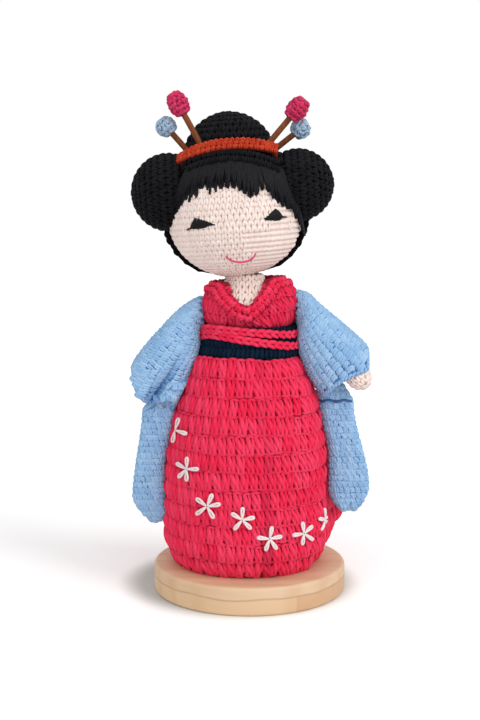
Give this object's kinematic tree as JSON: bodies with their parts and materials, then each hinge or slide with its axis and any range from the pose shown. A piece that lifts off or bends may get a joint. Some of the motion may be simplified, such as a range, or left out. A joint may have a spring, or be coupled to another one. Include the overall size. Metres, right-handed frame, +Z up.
{
  "type": "kimono doll",
  "caption": "Crocheted stuffed doll in a wrapped kimono with a dark sash, hair buns with bobble pins and long hanging sleeves, on a round wooden base; its head turns and its arms swing.",
  "frame": {"origin": "centre of the wooden base's underside", "axes": "+Z up; the doll faces -Y, so its own right side is towards -X and its left side towards +X"},
  "size_m": [0.1211, 0.1, 0.2563],
  "materials": {
    "pine": "sanded pine, edge glued, matt",
    "dowel_wood": "plain dowel",
    "stick_wood": "stained stick, satin",
    "skin_yarn": "crocheted cotton",
    "hair_yarn": "crocheted cotton and combed strands",
    "dress_yarn": "crocheted cotton",
    "sash_yarn": "crocheted cotton",
    "sleeve_yarn": "crocheted cotton",
    "band_yarn": "crocheted cotton",
    "pink_yarn": "crocheted cotton",
    "blue_yarn": "crocheted cotton"
  },
  "bodies": {
    "stand": {"base_disc": "pine", "post": "dowel_wood"},
    "doll": {"skirt": "dress_yarn", "body": "skin_yarn", "neck_dowel": "dowel_wood", "bodice": "dress_yarn", "collar": "dress_yarn", "obi": "sash_yarn", "obi_knot": "sash_yarn", "cord_upper": "dress_yarn", "cord_lower": "dress_yarn"},
    "head": {"head": "skin_yarn", "hair_cap": "hair_yarn", "fringe_right": "hair_yarn", "fringe_left": "hair_yarn", "hair_band": "band_yarn", "top_bun": "hair_yarn", "side_bun_right": "hair_yarn", "side_bun_left": "hair_yarn"},
    "pin_pink_right": {"pin_pink_right_stick": "stick_wood", "pin_pink_right_bobble": "pink_yarn"},
    "pin_blue_right": {"pin_blue_right_stick": "stick_wood", "pin_blue_right_bobble": "blue_yarn"},
    "pin_pink_left": {"pin_pink_left_stick": "stick_wood", "pin_pink_left_bobble": "pink_yarn"},
    "pin_blue_left": {"pin_blue_left_stick": "stick_wood", "pin_blue_left_bobble": "blue_yarn"},
    "arm_right": {"arm_right": "skin_yarn", "sleeve_right": "sleeve_yarn"},
    "arm_left": {"arm_left": "skin_yarn", "sleeve_left": "sleeve_yarn"},
    "drop_right": {"sleeve_drop_right": "sleeve_yarn"},
    "drop_left": {"sleeve_drop_left": "sleeve_yarn"}
  },
  "joints": [
    {"name": "doll_lift", "type": "slide", "parent": "stand", "child": "doll", "axis": [0, 0, 1], "range_m": [0, 0.09]},
    {"name": "head_turn", "type": "hinge", "parent": "doll", "child": "head", "pos_m": [-0.0025, 0, 0.1633], "axis": [0, 0, 1], "range_deg": [-20, 20]},
    {"name": "arm_right_swing", "type": "hinge", "parent": "doll", "child": "arm_right", "pos_m": [-0.0246, 0, 0.1477], "axis": [-1, 0, 0], "range_deg": [0, 70]},
    {"name": "arm_left_swing", "type": "hinge", "parent": "doll", "child": "arm_left", "pos_m": [0.0246, 0, 0.1493], "axis": [-1, 0, 0], "range_deg": [0, 70]},
    {"name": "drop_right_swing", "type": "hinge", "parent": "arm_right", "child": "drop_right", "pos_m": [-0.046, -0.006, 0.0983], "axis": [-1, 0, 0], "range_deg": [-35, 35]},
    {"name": "drop_left_swing", "type": "hinge", "parent": "arm_left", "child": "drop_left", "pos_m": [0.046, -0.0072, 0.1005], "axis": [-1, 0, 0], "range_deg": [0, 35]},
    {"name": "pink_right_pin_slide", "type": "slide", "parent": "head", "child": "pin_pink_right", "axis": [-0.4833, 0, 0.8755], "range_m": [0, 0.018]},
    {"name": "blue_right_pin_slide", "type": "slide", "parent": "head", "child": "pin_blue_right", "axis": [-0.6672, 0, 0.7448], "range_m": [0, 0.018]},
    {"name": "pink_left_pin_slide", "type": "slide", "parent": "head", "child": "pin_pink_left", "axis": [0.6432, 0, 0.7657], "range_m": [0, 0.018]},
    {"name": "blue_left_pin_slide", "type": "slide", "parent": "head", "child": "pin_blue_left", "axis": [0.7859, 0, 0.6184], "range_m": [0, 0.018]}
  ]
}
